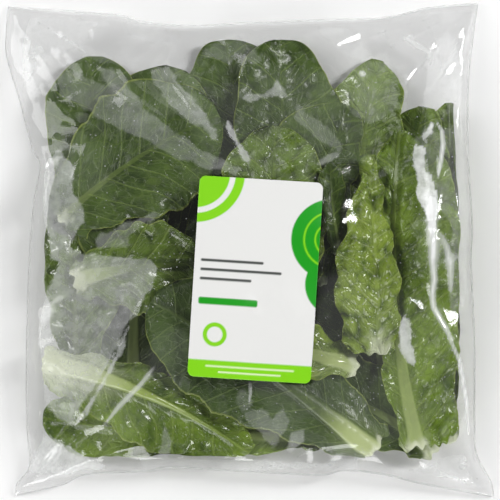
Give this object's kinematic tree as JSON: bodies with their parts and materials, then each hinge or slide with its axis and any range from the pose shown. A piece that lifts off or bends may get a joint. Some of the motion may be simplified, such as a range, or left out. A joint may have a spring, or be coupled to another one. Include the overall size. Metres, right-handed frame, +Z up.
{
  "type": "bag of loose cos lettuce leaves",
  "caption": "Clear film bag filled with loose cos (romaine) lettuce leaves, with a plain paper label on its front; lies flat on its back.",
  "frame": {"origin": "centre of the bounding box at the surface that the bag lies on", "axes": "+Z up out of the labelled front, +Y towards the bag's mouth and the label's head, +X to the right seen from above with the mouth away from the viewer"},
  "size_m": [0.27, 0.274, 0.045],
  "materials": {
    "clear_film": "thin clear glossy film, slightly milky, creased",
    "leaf_blade": "satin waxy leaf, mid to dark green, pale rib and veins",
    "leaf_underside": "dull grey-green underside of the leaf with a raised pale rib",
    "label_paper": "white semi-gloss self-adhesive paper with plain green printed shapes"
  },
  "bodies": {
    "root": {"film_bag": "clear_film", "leaf_01": "leaf_blade", "leaf_02": "leaf_blade", "leaf_03": "leaf_underside", "leaf_04": "leaf_blade", "leaf_05": "leaf_blade", "leaf_06": "leaf_blade", "leaf_07": "leaf_underside", "leaf_08": "leaf_blade", "leaf_09": "leaf_underside", "leaf_10": "leaf_blade", "leaf_11": "leaf_underside", "leaf_12": "leaf_blade", "leaf_13": "leaf_blade", "leaf_14": "leaf_underside", "leaf_15": "leaf_underside", "leaf_16": "leaf_underside", "leaf_17": "leaf_blade", "leaf_18": "leaf_underside", "leaf_19": "leaf_underside", "leaf_20": "leaf_blade", "leaf_21": "leaf_blade", "leaf_22": "leaf_blade", "leaf_23": "leaf_blade", "leaf_24": "leaf_blade", "label": "label_paper"}
  },
  "joints": []
}
